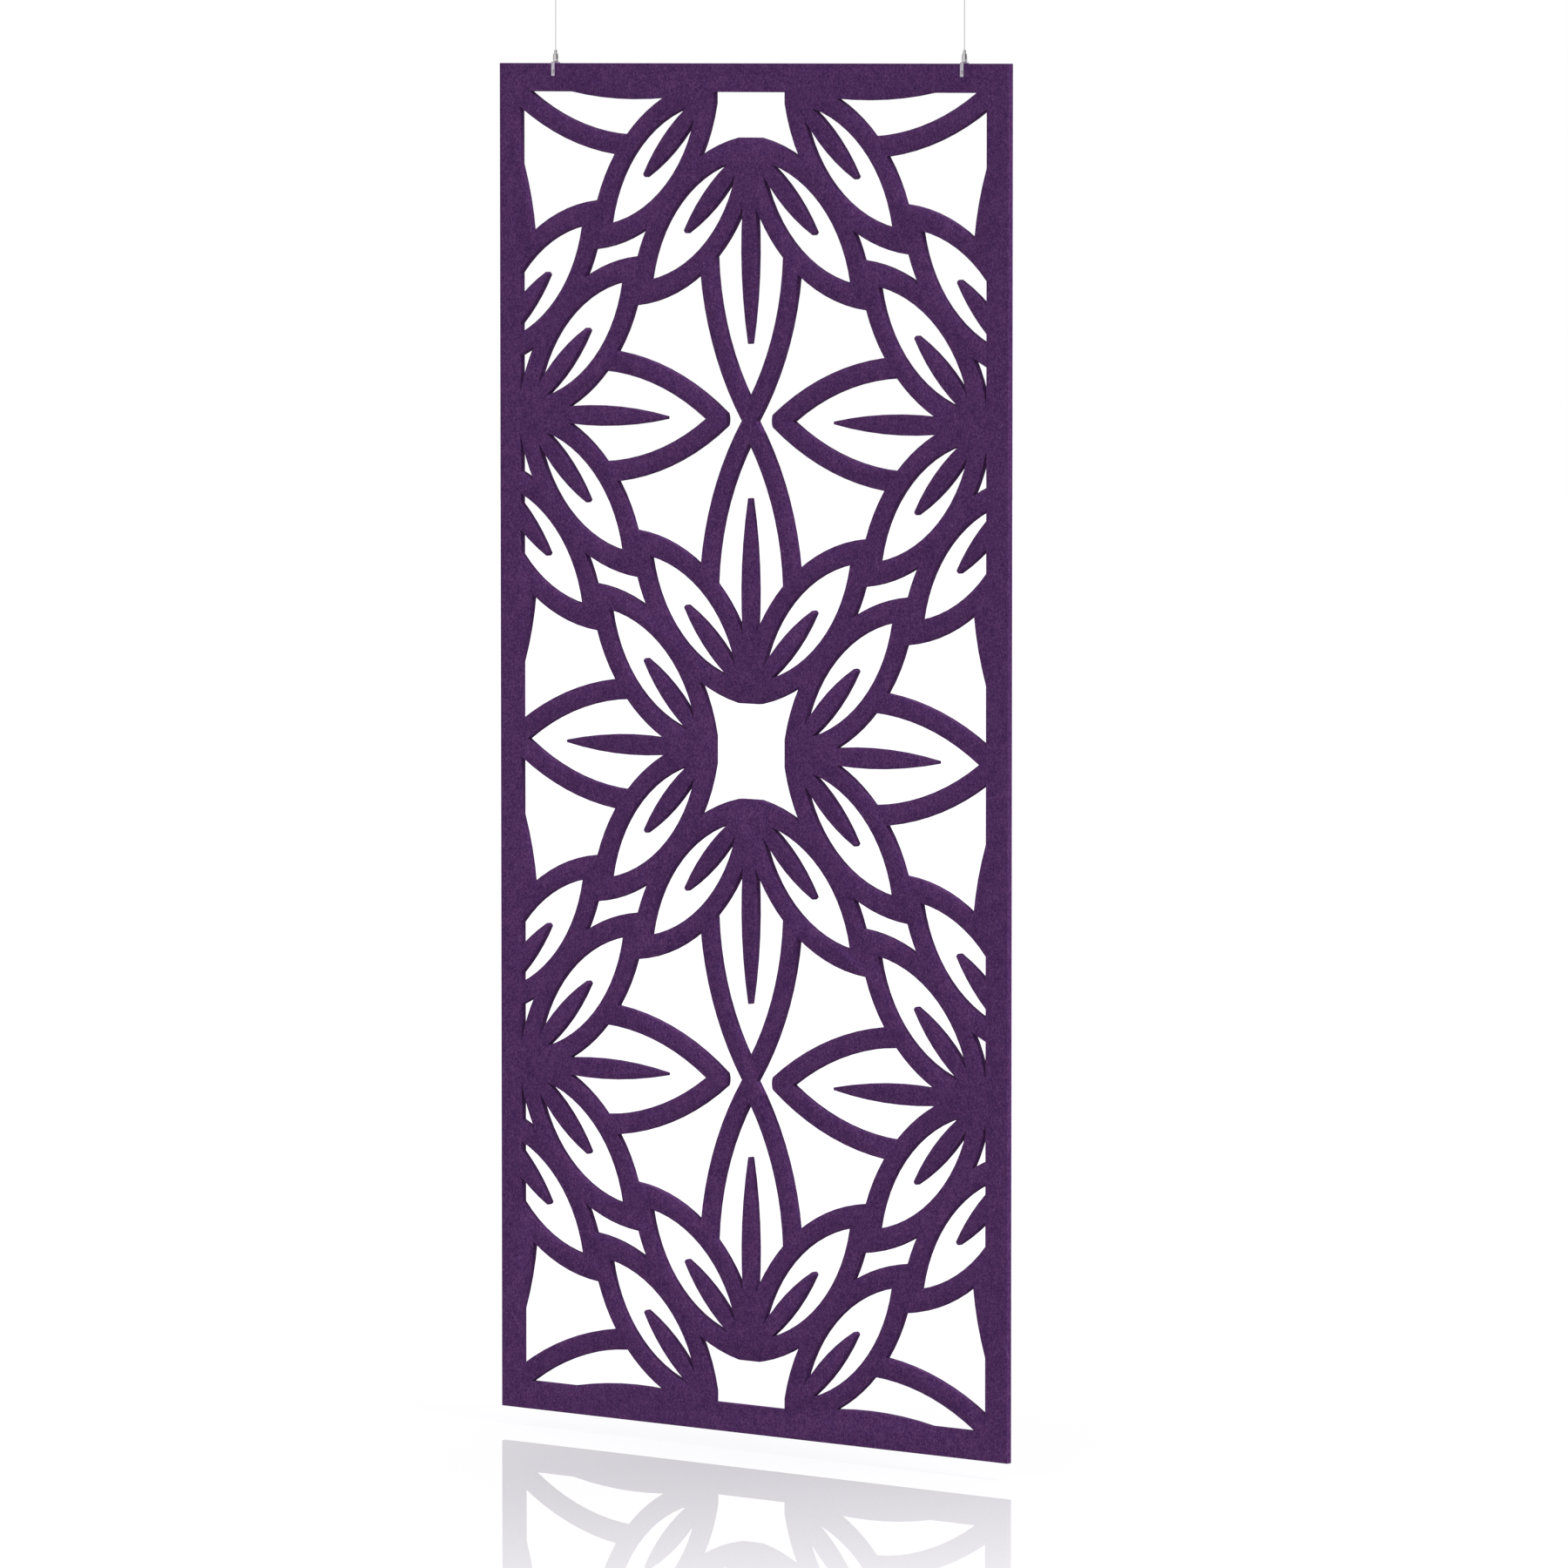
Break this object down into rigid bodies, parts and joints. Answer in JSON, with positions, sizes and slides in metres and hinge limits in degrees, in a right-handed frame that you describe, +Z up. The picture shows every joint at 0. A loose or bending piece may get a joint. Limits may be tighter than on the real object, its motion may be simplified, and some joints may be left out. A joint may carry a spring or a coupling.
{
  "type": "hanging room divider panel",
  "caption": "Tall thin felt panel cut through with a rosette fretwork, hung from the ceiling by wire ropes with end grippers clamped on its top edge.",
  "frame": {"origin": "on the ceiling plane, midway between the axes of the two ceiling fittings, over the middle of the panel's thickness", "axes": "+X to the right along the panel's width seen from the front, +Y to the back, +Z up to the ceiling; the front faces -Y"},
  "size_m": [1.219, 0.0203, 2.588],
  "materials": {
    "felt": "matt needled fibre felt",
    "clamp_steel": "satin nickel plate",
    "screw_steel": "satin zinc plate",
    "stem_steel": "turned and nickel plated",
    "barrel_nickel": "bright nickel plate",
    "nozzle_nickel": "bright nickel plate",
    "ball_steel": "ground and polished",
    "spring_steel": "drawn wire",
    "wire_rope": "stranded, bright",
    "stop_steel": "swaged",
    "ceiling_nickel": "bright nickel plate"
  },
  "bodies": {
    "ceiling_fittings": {"ceiling_base_left": "ceiling_nickel", "ceiling_base_right": "ceiling_nickel", "ceiling_cap_left": "ceiling_nickel", "ceiling_cap_right": "ceiling_nickel"},
    "hanging_panel": {"felt_panel": "felt", "clamp_left": "clamp_steel", "clamp_right": "clamp_steel", "clamp_screws": "screw_steel", "clamp_nuts": "screw_steel", "gripper_stem_left": "stem_steel", "gripper_stem_right": "stem_steel", "gripper_barrel_left": "barrel_nickel", "gripper_barrel_right": "barrel_nickel", "gripper_spring_left": "spring_steel", "gripper_spring_right": "spring_steel", "rope_left": "wire_rope", "rope_right": "wire_rope", "rope_stop_left": "stop_steel", "rope_stop_right": "stop_steel"},
    "left_plunger": {"plunger_left": "nozzle_nickel", "gripper_balls_left": "ball_steel"},
    "right_plunger": {"plunger_right": "nozzle_nickel", "gripper_balls_right": "ball_steel"}
  },
  "joints": [
    {"name": "panel_sway", "type": "hinge", "parent": "ceiling_fittings", "child": "hanging_panel", "pos_m": [0, 0, -0.017], "axis": [1, 0, 0], "range_deg": [-10, 10]},
    {"name": "left_plunger_press", "type": "slide", "parent": "hanging_panel", "child": "left_plunger", "axis": [0, 0, -1], "range_m": [0, 0.002], "stiffness_N_per_m": 500, "springref_m": -0.002, "deforming": ["gripper_spring_left"]},
    {"name": "right_plunger_press", "type": "slide", "parent": "hanging_panel", "child": "right_plunger", "axis": [0, 0, -1], "range_m": [0, 0.002], "stiffness_N_per_m": 500, "springref_m": -0.002, "deforming": ["gripper_spring_right"]}
  ]
}
